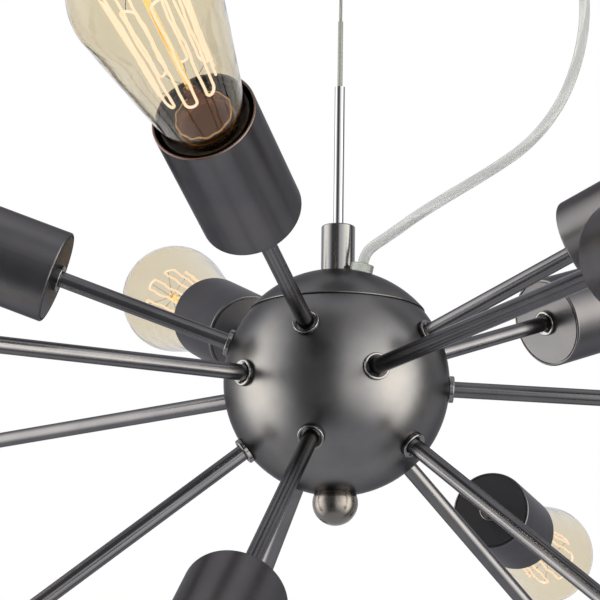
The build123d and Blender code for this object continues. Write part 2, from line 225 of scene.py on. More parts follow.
# %% Lamp frames
lamp_axis = {joint["child"]: np.array(joint["axis"], float) for joint in frame["joints"]}
lamp_names = [body for body in frame["bodies"] if body.startswith("bulb_")]


def points_of(node):
    """The corner points of a CAD node."""
    mesh = nodes[node].data
    flat = np.empty(3 * len(mesh.vertices))
    mesh.vertices.foreach_get("co", flat)
    return flat.reshape(-1, 3)


def lamp_frame(lamp):
    """Three unit axes of a lamp, across, up and out, and its rim's middle. Across is level:
    the world's Z crossed with out. Up is out crossed with across."""
    out = lamp_axis[lamp] / np.linalg.norm(lamp_axis[lamp])
    across = np.cross([0, 0, 1], out)
    across /= np.linalg.norm(across)
    reach = ((points_of(lamp.replace("bulb", "cup")) - ball_centre) @ out).max()
    return np.stack([across, np.cross(out, across), out]), ball_centre + reach * out


lamp_frames = {lamp: lamp_frame(lamp) for lamp in lamp_names}
print("lamps", len(lamp_names), "first rim", np.round(lamp_frames[lamp_names[0]][1], 4))


def lamp_piece(name, lamp, grids, closed=(), spin=0.0, stretch=1.0):
    """Turn the grids about the lamp's own axis, stretch them along it, put them in the lamp's
    frame, and let the piece ride on the lamp."""
    points, faces = joined(grids, closed)
    axes, rim = lamp_frames[lamp]
    spun = points @ turn(2, spin).T * [1, 1, stretch]
    piece = add_mesh(name, rim + spun @ axes, faces)
    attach(piece, lamp)
    return piece


# %% [markdown]
# ## Material helpers
#
# A finish is a Principled shader with a few textures behind it. Single values are set on the
# shader's own sockets. Patterns read Object coordinates, so they keep their size in metres
# and stay on the piece from every side. The studio's light is a tree of nodes too, so the
# calls that any tree needs stand in a class of their own.


# %% Node helpers
class Nodes:
    """A shader tree, with short names for making its nodes and linking them."""

    def __init__(self, tree):
        self.tree = tree

    def node(self, kind, **inputs):
        """Add a node and feed its inputs, whose names have _ for a space."""
        made = self.tree.nodes.new(kind)
        for key, value in inputs.items():
            self.feed(made.inputs[key.replace("_", " ")], value)
        return made

    def feed(self, socket, value):
        """Link a socket to an input, or set the input to a plain value."""
        if isinstance(value, bpy.types.NodeSocket):
            self.tree.links.new(value, socket)
        else:
            socket.default_value = value

    def math(self, operation, *values):
        """One sum: the operation's name and its values, sockets or numbers."""
        made = self.node("ShaderNodeMath")
        made.operation = operation
        for socket, value in zip(made.inputs, values):
            self.feed(socket, value)
        return made.outputs[0]

    def tint(self, value, *stops):
        """Colour ramp: stops are (position, colour)."""
        ramp = self.node("ShaderNodeValToRGB", Fac=value)
        points = ramp.color_ramp.elements
        while len(points) < len(stops):
            points.new(0.5)
        for point, (position, colour) in zip(points, stops):
            point.position = position
            point.color = (*colour, 1)
        return ramp.outputs["Color"]

    def blend(self, share, first, second):
        """From the first colour to the second as the share goes from 0 to 1."""
        made = self.node("ShaderNodeMix")
        made.data_type = "RGBA"
        for index, value in ((0, share), (6, first), (7, second)):
            self.feed(made.inputs[index], value)
        return made.outputs[2]


# %% Material helpers
class Finish(Nodes):
    """A new material with its nodes at hand."""

    def __init__(self, name, **values):
        self.material = bpy.data.materials.new(name)
        self.material.use_nodes = True
        super().__init__(self.material.node_tree)
        self.shader = self.tree.nodes["Principled BSDF"]
        for key, value in values.items():
            self.set(key.replace("_", " "), value)

    def set(self, key, value):
        """Feed one of the shader's own inputs, by its name."""
        self.feed(self.shader.inputs[key], value)

    def place(self):
        """Object coordinates."""
        return self.node("ShaderNodeTexCoord").outputs["Object"]

    def facing(self, blend):
        """0 where the surface faces the eye, up to 1 where it is seen edge on."""
        return self.node("ShaderNodeLayerWeight", Blend=blend).outputs["Facing"]

    def noise(self, vector, scale, detail=3.0):
        """A cloud texture's grey value at a place. The scale is in features a metre."""
        made = self.node("ShaderNodeTexNoise", Vector=vector, Scale=scale, Detail=detail)
        return made.outputs["Fac"]

    def between(self, value, low, high, start=0.3, end=0.7):
        """Map a texture's value from start..end to low..high."""
        limits = {"From_Min": start, "From_Max": end, "To_Min": low, "To_Max": high}
        return self.node("ShaderNodeMapRange", Value=value, **limits).outputs["Result"]

    def bump(self, height, depth, strength=1.0):
        """Tilt the surface's normal as a relief of this depth in metres would."""
        made = self.node("ShaderNodeBump", Height=height, Strength=strength, Distance=depth)
        self.set("Normal", made.outputs["Normal"])


def dress(node, finish):
    """Give a CAD node its finish."""
    for material_slot in nodes[node].material_slots:
        material_slot.link = "OBJECT"
        material_slot.material = finish.material


# %% [markdown]
# ## Dark nickel
#
# Nearly all of the fixture is steel with a black-nickel plating: a dark grey metal with a
# soft shine. The plating is thin, so its colour and polish vary in faint clouds, a little
# warmer where they are lighter. The ball, arms and collars share the recipe, each with its own
# grey and polish. The specular tint sets how much the metal mirrors near its outline: such
# plating darkens there, where plain metal would turn white.


# %% Dark nickel
cloud_scale = 45.0
grain_scale = 6 * cloud_scale
warm_lighter = np.array([1.16, 1.12, 1.06])
darker_share = 0.88


def dark_nickel(name, roughness, colour=(0.168, 0.167, 0.166), edge=0.35):
    """Clouds of noise shift the colour by an eighth and the roughness by a few hundredths.
    The edge is the share that the metal still mirrors where it is seen at a slant."""
    finish = Finish(name, Metallic=1.0, Specular_Tint=(edge, edge, edge * 1.03, 1))
    place = finish.place()
    cloud = finish.noise(place, cloud_scale)
    darker = tuple(darker_share * part for part in colour)
    lighter = tuple(warm_lighter * colour)
    finish.set("Base Color", finish.tint(cloud, (0.3, darker), (0.7, lighter)))
    grain = finish.noise(place, grain_scale, 4.0)
    finish.set("Roughness", finish.between(grain, roughness - 0.015, roughness + 0.02))
    return finish


ball_finish = dark_nickel("ball_dark_nickel", 0.30)
arm_finish = dark_nickel("arm_dark_nickel", 0.21, (0.142, 0.142, 0.147), 0.5)
collar_finish = dark_nickel("collar_dark_nickel", 0.14, (0.20, 0.20, 0.20), 0.6)
for node in ("hub_bowl", "hub_cap", "canopy"):
    dress(node, ball_finish)
dress("collars_and_nuts", collar_finish)
for lamp in lamp_names:
    dress(lamp.replace("bulb", "arm"), arm_finish)
print("dark nickel on", 3 + 1 + len(lamp_names), "nodes")

# %% [markdown]
# ## Cups
#
# A cup is spun from sheet and plated a shade darker than the ball. Its side shows very faint
# turning marks round the axis, and a warm reflection of the lamps is painted as a copper band
# at the sharp lip. Each cup has its own direction, so a Mapping node turns the pattern until
# its Z runs along the cup's axis, with zero at the rim.

# %% Cups
cup_darker = (0.116, 0.116, 0.122)
cup_lighter = (0.146, 0.137, 0.134)
# Painted reflection: a warm copper band on the lip stands in for the lamps' light mirrored there.
lip_painted_reflection = (0.22, 0.14, 0.115, 1)
lip_reflection_from = -0.3 * mm
lip_reflection_full = -0.05 * mm
marks_stretch = (20, 20, 2500)


def cup_finish(lamp):
    """The Mapping's angles are those of the turn whose rows are the lamp's axes. Turning
    marks are noise stretched round the axis: it varies with height over a hundred times
    faster than across. A painted copper reflection of the lamps shows where height is within a
    hair of the rim."""
    axes, rim = lamp_frames[lamp]
    name = lamp.replace("bulb", "cup") + "_finish"
    finish = Finish(name, Metallic=1.0, Specular_Tint=(0.4, 0.4, 0.41, 1))
    turn_to_axis = finish.node("ShaderNodeMapping", Vector=finish.place())
    turn_to_axis.inputs["Rotation"].default_value = Matrix(axes.tolist()).to_euler("XYZ")
    turn_to_axis.inputs["Location"].default_value = tuple(-axes @ rim)
    local = turn_to_axis.outputs["Vector"]
    stretched = finish.node("ShaderNodeMapping", Vector=local, Scale=marks_stretch)
    marks = finish.noise(stretched.outputs["Vector"], 1.0, 2.0)
    height = finish.node("ShaderNodeSeparateXYZ", Vector=local).outputs["Z"]
    base = finish.tint(finish.noise(local, 35.0), (0.3, cup_darker), (0.7, cup_lighter))
    # Share of the painted copper reflection, full at the lip and none below it.
    lip_reflection_share = finish.between(height, 0, 1, lip_reflection_from, lip_reflection_full)
    finish.set("Base Color", finish.blend(lip_reflection_share, base, lip_painted_reflection))
    finish.set("Roughness", finish.between(marks, 0.28, 0.34))
    finish.bump(marks, 0.01 * mm, 0.1)
    return finish


for lamp in lamp_names:
    dress(lamp.replace("bulb", "cup"), cup_finish(lamp))
print("cups", len(lamp_names))

# %% [markdown]
# ## Turned and polished fittings
#
# The neck above the ball, the tube over the cable and the knob under the ball are polished
# harder than the plated sheet, so they mirror the studio in sharp bands. The knob is a warmer
# pewter. The rods and the crossbar are plain zinc, and the cable grip is nickel.


# %% Polished fittings
def polished(name, colour, roughness):
    """A plain metal whose only texture is a fine wander in its roughness."""
    finish = Finish(name, Metallic=1.0, Base_Color=(*colour, 1))
    wander = finish.noise(finish.place(), 300.0)
    finish.set("Roughness", finish.between(wander, roughness * 0.8, roughness * 1.3))
    return finish


dress("neck", polished("neck_nickel", (0.17, 0.17, 0.165), 0.15))
dress("suspension_tube", polished("tube_chrome", (0.30, 0.30, 0.30), 0.08))
dress("finial", polished("knob_pewter", (0.185, 0.168, 0.148), 0.24))
for node in ("threaded_rods", "crossbar"):
    dress(node, polished(node + "_zinc", (0.62, 0.62, 0.58), 0.34))
for node in ("cable_grip", "grip_plunger"):
    dress(node, polished(node + "_nickel", (0.45, 0.45, 0.44), 0.2))
print("polished fittings 7")

# %% [markdown]
# ## Steel cable
#
# The cable is twisted from thin strands, and a plain grey sleeve is crimped over it above the
# tube. Both are one CAD node on the world's Z axis, so the distance from that axis tells them
# apart, and the strands are slanted stripes: a sine of angle plus height. The stripes paint
# shade into the grooves between strands and light onto their crowns.


# %% Steel cable
strands_round = 6
strand_lay = 1.6 * mm
strand_depth = 0.12 * mm
cable_reach = 1 * mm


def cable_finish():
    """Stripe at angle a and height z: sin(6 a + z / lay). It is kept where the distance from the
    axis is under a millimetre, and there it gives both the bump and a painted shade and light:
    dark in the grooves between strands, light on their crowns."""
    finish = Finish("cable_steel", Metallic=0.35, Roughness=0.55)
    math = finish.math
    parts = finish.node("ShaderNodeSeparateXYZ", Vector=finish.place())
    x, y, z = (parts.outputs[name] for name in "XYZ")
    round_axis = math("MULTIPLY", math("ARCTAN2", y, x), strands_round)
    stripe = math("SINE", math("MULTIPLY_ADD", z, 1 / strand_lay, round_axis))
    distance = math("SQRT", math("ADD", math("MULTIPLY", x, x), math("MULTIPLY", y, y)))
    strands = math("MULTIPLY", stripe, math("LESS_THAN", distance, cable_reach))
    shade = finish.between(strands, 0, 1, -1, 1)
    # Painted shade and light: the stripe darkens the grooves and lightens the strand crowns.
    finish.set("Base Color", finish.tint(shade, (0, (0.17, 0.175, 0.15)), (1, (0.37, 0.38, 0.33))))
    finish.bump(strands, strand_depth)
    return finish


dress("suspension_cable", cable_finish())

# %% [markdown]
# ## Lampholders
#
# Inside each cup sits a black moulded holder with a skirt round the lamp's neck. Moulded
# phenolic is nearly black, with a faint pebble and a soft, low gloss: behind the glass it has
# to stay dark.


# %% Lampholders
def phenolic():
    """A fine noise gives the pebble, and a slower one lets the gloss wander."""
    finish = Finish("holder_phenolic", Base_Color=(0.014, 0.010, 0.009, 1))
    finish.set("Specular IOR Level", 0.22)
    place = finish.place()
    finish.set("Roughness", finish.between(finish.noise(place, 120.0), 0.30, 0.44))
    finish.bump(finish.noise(place, 1800.0), 0.02 * mm, 0.4)
    return finish


dress("lampholders", phenolic())

# %% [markdown]
# ## Lamp glass
#
# The lamp is a pear-shaped bottle, blown from thin glass with a faint amber tint. It has to be
# a real shell with an outer and an inner face: light then bends in and out of a thin wall,
# while what stands inside keeps its place. The glass takes up a little light inside the wall.
# Its colour is painted darker where it is seen edge on: partly the longer way through the
# wall, partly a painted shade that draws the outline. Its index is low, so that the panels'
# reflections don't veil what stands behind. The side is a straight neck, a rounded shoulder,
# a cone and a dome, each tangent to the next.

# %% Lamp sizes
glass_radius = 32 * mm
glass_wall = 0.8 * mm
neck_radius = 12.45 * mm
neck_foot = -12 * mm
cone_slope = radians(9.1)
cone_run = 74 * mm
shoulder_radius = 9 * mm
dome_centre = 82.5 * mm


# %% Bottle
def arc(centre, radius, angles):
    """Points (radius, height) of a circle: the centre plus r (cos a, sin a)."""
    return np.array(centre) + radius * np.stack([np.cos(angles), np.sin(angles)], axis=1)


def bottle_side(skin):
    """Radius and height down the side, a given depth inside the outer face. The dome is an
    arc about its centre, the shoulder an arc about a point that lies one cone run back, and
    both touch the cone, so a deeper skin only shortens their radii."""
    shoulder = shoulder_radius - skin
    across = glass_radius - shoulder_radius
    shoulder_r = across * cos(cone_slope) - cone_run * sin(cone_slope)
    shoulder_z = dome_centre - across * sin(cone_slope) - cone_run * cos(cone_slope)
    neck_turn = acos((neck_radius - skin - shoulder_r) / shoulder)
    dome_arc = arc((0, dome_centre), glass_radius - skin, np.linspace(pi / 2, -cone_slope, 28))
    dome_arc[0, 0] = 0
    shoulder_angles = -np.linspace(cone_slope, neck_turn, 10)
    shoulder_arc = arc((shoulder_r, shoulder_z), shoulder, shoulder_angles)
    steps = np.linspace(0, 1, 14)[1:-1, None]
    cone = dome_arc[-1] * (1 - steps) + shoulder_arc[0] * steps
    foot = np.array([[neck_radius - skin, neck_foot]])
    return np.concatenate([dome_arc, cone, shoulder_arc, foot])


def bottle_grid(seed):
    """Outer side down, inner side back up. The blown glass is not quite round: slow sines of
    angle and height move both faces together by up to a quarter of a millimetre."""
    outer = bottle_side(0)
    inner = bottle_side(glass_wall)[::-1]
    grid = turned(np.concatenate([outer, inner]), 64)
    angle = np.arctan2(grid[..., 1], grid[..., 0])
    height = grid[..., 2]
    wave = np.sin(3 * angle + 90 * height + seed) * np.sin(140 * height + 2 * seed)
    size = np.clip((height - 4 * mm) / (30 * mm), 0, 1)
    grid[..., :2] *= (1 - 0.004 * size * (1 + wave))[..., None]
    return grid


# Painted shade on the glass outline: where it starts, and the share of the colour left there.
glass_outline_shade_starts = 0.84
glass_outline_shade_share = 0.45
wall_tint = (0.67, 0.60, 0.49, 1)
wall_density = 200.0


def glass_finish(name, colour, ior=1.5):
    """Clear tinted glass: full transmission, with a very faint ripple. The specular tint is
    dark, because the panels that light the dark metal would veil the glass. The glass is
    painted darker where it is seen nearly edge on: partly the longer way through its wall,
    partly a painted shade on the outline."""
    finish = Finish(name, Roughness=0.0, IOR=ior, Transmission_Weight=1.0)
    finish.set("Specular Tint", (0.1, 0.1, 0.1, 1))
    darker = tuple(glass_outline_shade_share * part for part in colour)
    # Painted shade: the colour darkens towards the outline.
    painted_outline_shade = finish.tint(finish.facing(0.5), (glass_outline_shade_starts, colour), (1.0, darker))
    finish.set("Base Color", painted_outline_shade)
    finish.bump(finish.noise(finish.place(), 55.0, 2.0), 0.6 * mm, 0.35)
    return finish


bottle_glass = glass_finish("bottle_amber_glass", (0.87, 0.825, 0.71), 1.32)
absorption = bottle_glass.node("ShaderNodeVolumeAbsorption", Color=wall_tint, Density=wall_density)
output = bottle_glass.tree.nodes["Material Output"]
bottle_glass.feed(output.inputs["Volume"], absorption.outputs["Volume"])

for index, lamp in enumerate(lamp_names):
    bottle = lamp_piece(lamp + "_bottle", lamp, [bottle_grid(index)])
    bottle.data.materials.append(bottle_glass.material)
    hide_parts(lamp)
print("bottle height", round((dome_centre + glass_radius - neck_foot) / mm), "mm")

# %% [markdown]
# ## Stem
#
# A glass stem stands in the neck. It starts as a wide flare with a wavy, amber-stained rim,
# narrows to a flat pinch where the wires are sealed in, and goes on as a thin rod with a
# button on top. The flare is a turned shell; waves are added to its rim by angle. The rod
# gives a little light of its own, in place of what it catches from the filament round it. No
# two hand-made lamps are alike, so each rod and cage is stretched by a few percent.

# %% Stem sizes
flare_radius = 12.8 * mm
flare_height = 0.5 * mm
flare_wall = 0.9 * mm
waist_radius = 3.1 * mm
pinch_height = 15 * mm
pinch_profile_mm = np.array(
    [[0, 12.5], [2.6, 12.8], [3.6, 14.5], [3.7, 17.5], [3.2, 19.6], [1.6, 20.6], [0, 20.8]]
)
pinch_flatness = 0.45
rim_lift = 0.35 * mm
rim_swell = 0.014
bead_radius = 0.5 * mm
bead_inset = 0.3 * mm
rod_radius = 1.5 * mm
rod_foot = 19 * mm
rod_top = 90 * mm
button_mm = np.array([[0, -3], [0.5, -2.4], [1.2, -1], [0.9, 0.6], [-0.3, 1.4], [-1.5, 1.6]])


# %% Stem
def rim_waves(angle, seed):
    """What is added to the rim's height, and to its radius as a share of it, at an angle."""
    lift = rim_lift * (np.sin(11 * angle + seed) + 0.6 * np.sin(7 * angle + 2 * seed))
    return lift, rim_swell * np.sin(13 * angle + seed)


def flare_grid(seed):
    """Radius falls from the rim to the waist as a curve that is steep at first: the share
    left is (1 - s) to the power 2.2. The rim waves by angle, and less further up."""
    steps = np.linspace(0, 1, 22)
    radius = waist_radius + (flare_radius - waist_radius) * (1 - steps) ** 2.2
    height = flare_height + (pinch_height - flare_height) * steps
    bore = np.maximum(radius - flare_wall, 0.4 * mm)
    outer = np.stack([radius, height], axis=1)
    inner = np.stack([bore, height - 0.35 * mm], axis=1)[::-1]
    grid = turned(np.concatenate([outer, inner]), 72)
    angle = np.arctan2(grid[..., 1], grid[..., 0])
    share = np.clip((grid[..., 0] ** 2 + grid[..., 1] ** 2) ** 0.5 / flare_radius, 0, 1) ** 3
    lift, swell = rim_waves(angle, seed)
    grid[..., 2] += share * lift
    grid[..., :2] *= (1 + share * swell)[..., None]
    return grid


def pinch_grid():
    """A flattened round: its radius along Y is under half of that along X."""
    corners = np.arange(len(pinch_profile_mm))
    steps = np.linspace(0, corners[-1], 25)
    columns = [np.interp(steps, corners, column) for column in pinch_profile_mm.T]
    grid = turned(np.stack(columns, axis=1) * mm, 32)
    grid[..., 1] *= pinch_flatness
    return grid


def rod_grid():
    """A thin rod with a round button on top, where the upper hooks are sealed in."""
    foot = [[0, rod_foot], [rod_radius, rod_foot]]
    return turned(np.concatenate([foot, button_mm * mm + [rod_radius, rod_top]]), 20)


def bead_grid(seed):
    """The flare's rim is fire-polished into a bead that follows the same waves by angle."""
    angle = np.linspace(0, 2 * pi, 97)[:-1]
    lift, swell = rim_waves(angle, seed)
    reach = (flare_radius - bead_inset) * (1 + swell)
    path = np.stack([reach * np.cos(angle), reach * np.sin(angle), flare_height + lift], axis=1)
    return wire(path, bead_radius, (0, 0, 1), 8, closed=True)


# %% Stem pieces
flare_colour = (0.66, 0.27, 0.07, 1)
bead_colour = (0.95, 0.58, 0.22, 1)
rod_glow = (1.0, 0.60, 0.18, 1)
stretch_mean = 1.03
stretch_swing = 0.05

flare_glass = Finish("flare_amber_glass", Base_Color=flare_colour, Roughness=0.05, IOR=1.3)
flare_glass.set("Transmission Weight", 0.88)
flare_glass.set("Specular Tint", (0.3, 0.15, 0.05, 1))
bead_glass = Finish("bead_gold_glass", Base_Color=bead_colour, Roughness=0.2)
bead_glass.set("Transmission Weight", 0.1)
rod_glass = glass_finish("rod_amber_glass", (0.95, 0.72, 0.36))
rod_glass.set("Emission Color", rod_glow)
rod_glass.set("Emission Strength", 0.3)
cage_stretch = {}
for index, lamp in enumerate(lamp_names):
    cage_stretch[lamp] = stretch_mean + stretch_swing * cos(1.1 * index)
    flare_and_pinch = [flare_grid(index), pinch_grid()]
    stem = lamp_piece(lamp + "_stem", lamp, flare_and_pinch, closed=(0,), spin=index)
    stem.data.materials.append(flare_glass.material)
    bead = lamp_piece(lamp + "_bead", lamp, [bead_grid(index)], closed=(0,), spin=index)
    bead.data.materials.append(bead_glass.material)
    rod = lamp_piece(lamp + "_rod", lamp, [rod_grid()], spin=index, stretch=cage_stretch[lamp])
    rod.data.materials.append(rod_glass.material)
print("stem from", round(flare_height / mm, 1), "to", round(rod_top / mm, 1), "mm beyond the rim")

# %% [markdown]
# ## Filament
#
# The filament is one long wire laid in hairpins round the stem, like the bars of a cage. It
# hangs on hooks below and above, and glows cream in the middle of the wire and orange at its
# edges. The path is worked out as one array: bars that sway a little, with a half circle at
# each end, rolled onto a cone about the axis.

# %% Filament
bars = 16
cage_low = 21 * mm
cage_high = 86 * mm
cage_low_radius = 13 * mm
cage_high_radius = 17 * mm
filament_radius = 0.65 * mm
bar_gap = 2 * pi / bars
bar_points = 26


def bar_sway(heights, k):
    """Angle by which bar k strays: two slow sines of height, faded out at the bar's ends."""
    slow = 0.03 * np.sin(heights / mm * 0.2 + 1.7 * k)
    quick = 0.008 * np.sin(heights / mm * 0.8 + k)
    return (slow + quick) * np.sin(pi * np.linspace(0, 1, bar_points))


def cage_path():
    """Along the wire, bar k goes up where k is even and down where it is odd. Between bars
    the wire turns through a half circle whose width is the bars' spacing. The flat path is
    (angle, height), and a cone rolls it up: its radius grows with height."""
    flat = []
    turn_radius = bar_gap * cage_low_radius / 2
    bend = np.linspace(0, pi, 12)[1:-1]
    for k in range(bars):
        up = np.linspace(cage_low + turn_radius, cage_high - turn_radius, bar_points)
        heights = up if k % 2 == 0 else up[::-1]
        flat.append(np.stack([k * bar_gap + bar_sway(heights, k), heights], axis=1))
        if k < bars - 1:
            side = 1 if k % 2 == 0 else -1
            middle = cage_high - turn_radius if side == 1 else cage_low + turn_radius
            around = (k + 0.5) * bar_gap - bar_gap / 2 * np.cos(bend)
            flat.append(np.stack([around, middle + side * turn_radius * np.sin(bend)], axis=1))
    angle, height = np.concatenate(flat).T
    share = (height - cage_low) / (cage_high - cage_low)
    radius = cage_low_radius + (cage_high_radius - cage_low_radius) * share
    return np.stack([radius * np.cos(angle), radius * np.sin(angle), height], axis=1)


def outward(path):
    """Direction away from the lamp's axis at each point of a path."""
    flat = path * [1, 1, 0]
    return flat / np.maximum(np.linalg.norm(flat, axis=1, keepdims=True), 1e-9)


def glow():
    """Emission that is cream where the wire faces the eye and orange where it turns away."""
    finish = Finish("filament_glow", Base_Color=(0.05, 0.02, 0.01, 1), Roughness=0.6)
    cream, amber, orange = (1.0, 0.92, 0.82), (1.0, 0.80, 0.58), (1.0, 0.50, 0.26)
    colour = finish.tint(finish.facing(0.35), (0, cream), (0.5, amber), (1, orange))
    finish.set("Emission Color", colour)
    finish.set("Emission Strength", 1.28)
    return finish


first_spin = 0.51
spin_step = 0.7
filament_glow = glow()
filament_path = cage_path()
filament_grid = capped(wire(filament_path, filament_radius, outward(filament_path), 7))
place_in_lamp = {}
for index, lamp in enumerate(lamp_names):
    spin = first_spin + spin_step * index
    place_in_lamp[lamp] = {"spin": spin, "stretch": cage_stretch[lamp]}
    filament = lamp_piece(lamp + "_filament", lamp, [filament_grid], **place_in_lamp[lamp])
    filament.data.materials.append(filament_glow.material)
steps = np.linalg.norm(np.diff(filament_path, axis=0), axis=1)
print("filament wire length", round(steps.sum() / mm), "mm")

# %% [markdown]
# ## Hooks and lead wires
#
# Thin dark wires carry the filament. One hook reaches from the rod's button to each upper
# turn, one from the pinch to each lower turn, and two heavier leads bring the current up from
# the pinch to the filament's ends. They are arcs that start along the rod and end square to
# the cage.

# %% Hooks
hook_radius = 0.14 * mm
lead_radius = 0.28 * mm
lead_foot = 14 * mm


def hook_path(angle, start_height, end_height, end_radius):
    """From the rod to the cage along a quarter of an ellipse: the distance from the axis
    grows as a sine while the height settles as a cosine."""
    bend = np.linspace(0, pi / 2, 10)
    distance = end_radius * np.sin(bend)
    height = end_height + (start_height - end_height) * np.cos(bend)
    return np.stack([distance * cos(angle), distance * sin(angle), height], axis=1)


def hook_grids():
    """Lower turns lie between an odd bar and the next, upper turns between an even one and
    the next, so a hook's angle is the middle of its two bars."""
    grids = []
    for k in range(bars - 1):
        angle = (k + 0.5) * bar_gap
        upper = k % 2 == 0
        start = rod_top if upper else rod_foot
        end = cage_high if upper else cage_low
        reach = cage_high_radius if upper else cage_low_radius
        path = hook_path(angle, start, end, reach)
        grids.append(capped(wire(path, hook_radius, (-sin(angle), cos(angle), 0), 5)))
    return grids


def lead_grids():
    """The two ends of the filament are its first and last points, low on the cage."""
    grids = []
    for end in (filament_path[0], filament_path[-1]):
        angle = np.arctan2(end[1], end[0])
        path = hook_path(angle, lead_foot, end[2], np.hypot(end[0], end[1]))
        grids.append(capped(wire(path, lead_radius, (-sin(angle), cos(angle), 0), 6)))
    return grids


wire_brown = (0.07, 0.055, 0.045, 1)
hook_wire = Finish("hook_molybdenum", Base_Color=wire_brown, Metallic=0.9, Roughness=0.4)
hooks_and_leads = hook_grids() + lead_grids()
for lamp in lamp_names:
    hooks = lamp_piece(lamp + "_hooks", lamp, hooks_and_leads, **place_in_lamp[lamp])
    hooks.data.materials.append(hook_wire.material)
print("hooks and leads in each lamp", len(hooks_and_leads))

# %% [markdown]
# ## Screw cap
#
# The cap is rolled brass with a knuckle thread, a black glass insulator and a contact of
# solder. It shows only when a lamp is drawn out. The thread is a sine of height and angle, so
# that it climbs one pitch in each turn, and it fades at both ends.

# %% Screw cap
cap_radius = 13.2 * mm
cap_pitch = 3.63 * mm
cap_top = -5 * mm
cap_foot = cap_top - 20.5 * mm
thread_depth = 0.9 * mm
contact_height = -30.5 * mm
bore_profile = [
    [12.6 * mm - thread_depth, cap_foot + 0.3 * mm],
    [12.0 * mm, cap_top - 1 * mm],
    [12.6 * mm, cap_top],
]
insulator_profile = [
    [0, cap_foot],
    [12.2 * mm, cap_foot],
    [11.2 * mm, cap_foot - 1.4 * mm],
    [5 * mm, contact_height + 1.5 * mm],
    [0, contact_height + 1.5 * mm],
]
contact_profile = [
    [0, contact_height + 1.6 * mm],
    [4.8 * mm, contact_height + 1.6 * mm],
    [4.4 * mm, contact_height + 0.6 * mm],
    [2.6 * mm, contact_height + 0.1 * mm],
    [0, contact_height],
]


def cap_shell():
    """Radius at height z and angle a: the cap's radius less half the depth times
    (1 - cos(2 pi z / pitch - a)), fading to a plain band near each end."""
    heights = np.linspace(cap_top, cap_foot, 72)
    grid = turned(np.stack([np.full(72, cap_radius), heights], axis=1), 48)
    angle = np.arctan2(grid[..., 1], grid[..., 0])
    height = grid[..., 2]
    from_top = np.clip((cap_top - height) / (3 * mm), 0, 1)
    from_foot = np.clip((height - cap_foot) / (2 * mm), 0, 1)
    wave = 1 - np.cos(2 * pi * height / cap_pitch - angle)
    groove = 0.5 * thread_depth * from_top * from_foot * wave
    grid[..., :2] *= (1 - groove / cap_radius)[..., None]
    return np.concatenate([grid, turned(bore_profile, 48)])


def brass():
    """Rolled brass with slow tarnish: noise shifts it from yellow to brown."""
    finish = Finish("cap_brass", Metallic=1.0, Roughness=0.28)
    tarnish = finish.noise(finish.place(), 90.0)
    brown, yellow = (0.50, 0.33, 0.12), (0.66, 0.47, 0.19)
    finish.set("Base Color", finish.tint(tarnish, (0.3, brown), (0.7, yellow)))
    return finish


black_glass = (0.01, 0.01, 0.012, 1)
solder_grey = (0.55, 0.55, 0.53, 1)
cap_brass = brass()
insulator_glass = Finish("insulator_black_glass", Base_Color=black_glass, Roughness=0.08)
solder = Finish("contact_solder", Metallic=1.0, Base_Color=solder_grey, Roughness=0.35)
cap_parts = (
    ("cap", cap_shell(), (0,), cap_brass),
    ("insulator", turned(insulator_profile, 40), (), insulator_glass),
    ("contact", turned(contact_profile, 32), (), solder),
)
for lamp in lamp_names:
    for part, grid, closed, finish in cap_parts:
        piece = lamp_piece(f"{lamp}_{part}", lamp, [grid], closed)
        piece.data.materials.append(finish.material)
print("caps", len(lamp_names))

# %% [markdown]
# ## Flex
#
# The flex is a round cord of clear plastic over three tinned conductors. It leaves the ball
# through a clear bush, leans out to the right with its slack, and comes back to the canopy.
# Its line is a NURBS curve with the CAD route's points as its control points, bevelled to its
# real thickness. The conductors twist inside it, so they are built along points read back
# from that same curve.

# %% Flex route
flex_radius = 2.7 * mm
bush_tilt = radians(16)
bush_azimuth = radians(-42)
bush_level = sin(bush_tilt) * np.array([cos(bush_azimuth), sin(bush_azimuth)])
bush_direction = np.array([*bush_level, cos(bush_tilt)])
flex_start = 60.7
flex_straight_exit = 3.7
flex_points_above_ball = [
    tuple(bush_direction * flex_start),
    tuple(bush_direction * (flex_start + flex_straight_exit)),
    (16.3, -11.8, 66.4),
    (25.4, -9.9, 73.1),
    (43.2, -9.4, 86.7),
    (78.0, -7.6, 108.8),
    (96.9, -6.5, 123.3),
    (111.9, -5.6, 143.8),
    (120.7, -4.5, 167.3),
    (124.8, -3.2, 192.0),
    (123.0, -3.0, 216.0),
    (112.0, -2.2, 236.0),
    (91.0, -1.2, 250.0),
    (60.0, -0.3, 261.0),
    (45.5, 0.0, 271.5),
    (38.0, 0.0, 285.8),
    (38.0, 0.0, 301.1),
]
flex_route = ball_centre + np.array(flex_points_above_ball) * mm


# %% Flex curve
def route_curve(name, bevel):
    """An open NURBS spline with the route's points as its control points. Its thickness is
    the bevel times the points' own radius, which also sets how far its box reaches."""
    curve = bpy.data.curves.new(name, "CURVE")
    curve.dimensions = "3D"
    spline = curve.splines.new("NURBS")
    spline.points.add(len(flex_route) - 1)
    weights = np.ones((len(flex_route), 1))
    spline.points.foreach_set("co", np.hstack([flex_route, weights]).ravel())
    spline.points.foreach_set("radius", [flex_radius] * len(flex_route))
    spline.order_u = 3
    spline.use_endpoint_u = True
    spline.use_smooth = True
    curve.resolution_u = 16
    curve.bevel_depth = bevel
    curve.bevel_resolution = 8
    curve.use_fill_caps = True
    piece = bpy.data.objects.new(name, curve)
    bpy.context.scene.collection.objects.link(piece)
    return piece


def line_of(piece):
    """The points of an unbevelled curve, in order along it."""
    mesh = bpy.data.meshes.new_from_object(piece)
    flat = np.empty(3 * len(mesh.vertices))
    mesh.vertices.foreach_get("co", flat)
    bpy.data.meshes.remove(mesh)
    return flat.reshape(-1, 3)


